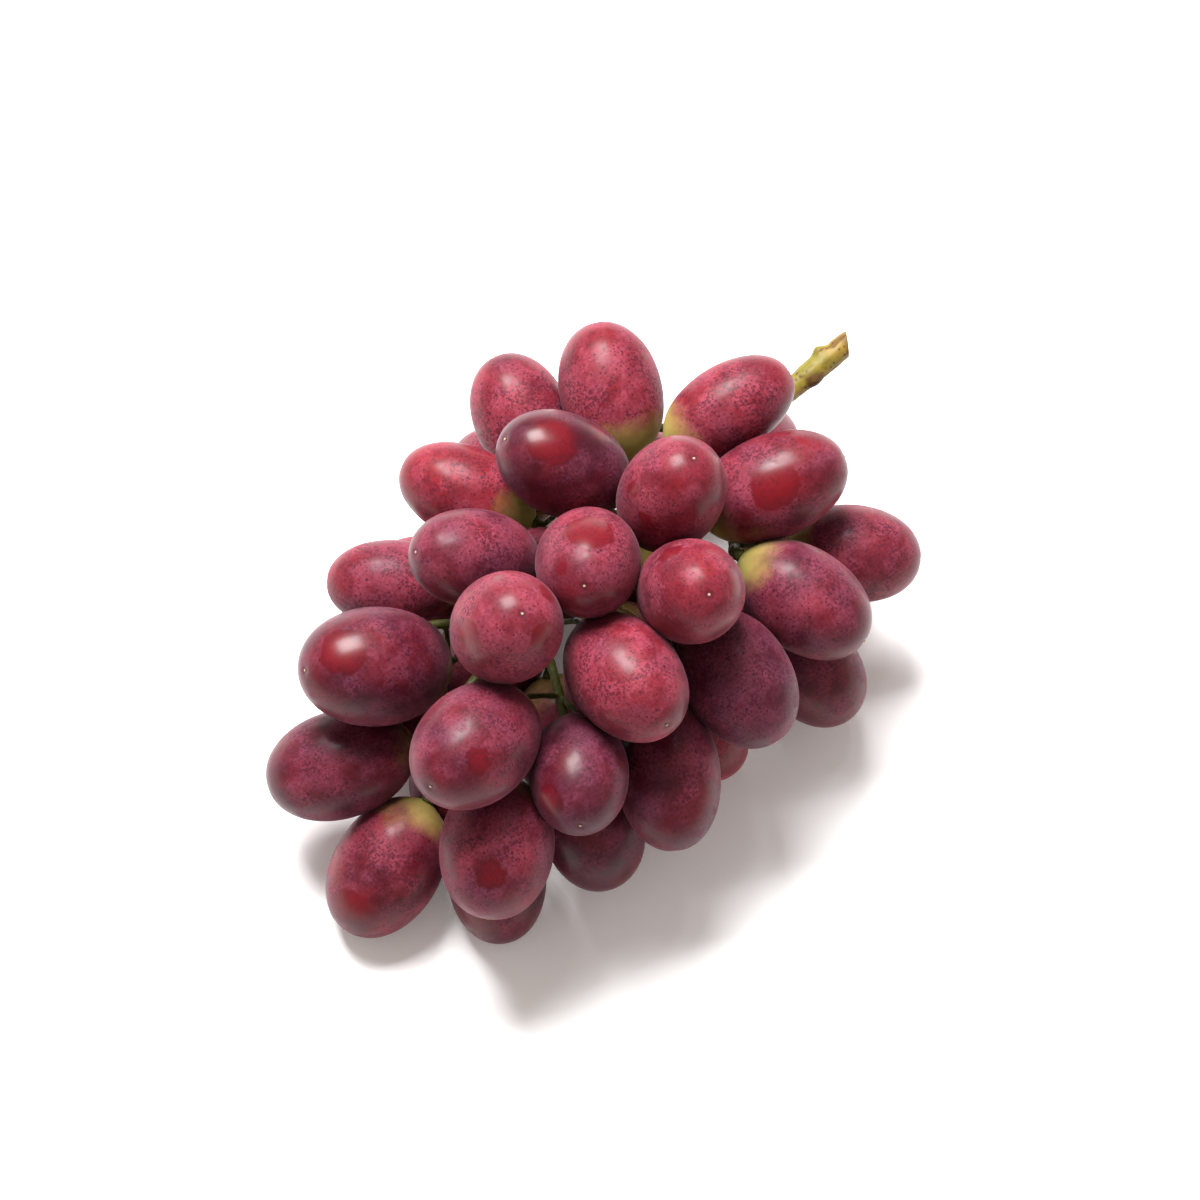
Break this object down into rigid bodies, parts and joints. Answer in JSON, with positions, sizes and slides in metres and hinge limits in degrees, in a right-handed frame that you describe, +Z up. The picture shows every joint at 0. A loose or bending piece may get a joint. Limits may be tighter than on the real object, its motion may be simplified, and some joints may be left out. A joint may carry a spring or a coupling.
{
  "type": "bunch of grapes",
  "caption": "Bunch of long red table grapes on its green stalk, lying on its side; fresh fruit for bowls, boards, market stands and tables.",
  "frame": {"origin": "on the surface the bunch lies on, under the middle of its box", "axes": "+X along the main stem toward its cut end, +Z up from the surface, +Y across the bunch"},
  "size_m": [0.1547, 0.1032, 0.0755],
  "materials": {
    "grape_skin": "smooth red to wine-purple skin under a pale waxy bloom, rubbed glossy in places, yellow-green at the stalk end, with dark speckles",
    "green_stem": "fresh yellow-green stem with brown flecks, brown at its knots and at the cut end"
  },
  "bodies": {
    "root": {"grape_01": "grape_skin", "grape_02": "grape_skin", "grape_03": "grape_skin", "grape_04": "grape_skin", "grape_05": "grape_skin", "grape_06": "grape_skin", "grape_07": "grape_skin", "grape_08": "grape_skin", "grape_09": "grape_skin", "grape_10": "grape_skin", "grape_11": "grape_skin", "grape_12": "grape_skin", "grape_13": "grape_skin", "grape_14": "grape_skin", "grape_15": "grape_skin", "grape_16": "grape_skin", "grape_17": "grape_skin", "grape_18": "grape_skin", "grape_19": "grape_skin", "grape_20": "grape_skin", "grape_21": "grape_skin", "grape_22": "grape_skin", "grape_23": "grape_skin", "grape_24": "grape_skin", "grape_25": "grape_skin", "grape_26": "grape_skin", "grape_27": "grape_skin", "grape_28": "grape_skin", "grape_29": "grape_skin", "grape_30": "grape_skin", "grape_31": "grape_skin", "grape_32": "grape_skin", "grape_33": "grape_skin", "grape_34": "grape_skin", "grape_35": "grape_skin", "grape_36": "grape_skin", "grape_37": "grape_skin", "grape_38": "grape_skin", "grape_39": "grape_skin", "grape_40": "grape_skin", "grape_41": "grape_skin", "grape_42": "grape_skin", "stalk": "green_stem"}
  },
  "joints": []
}
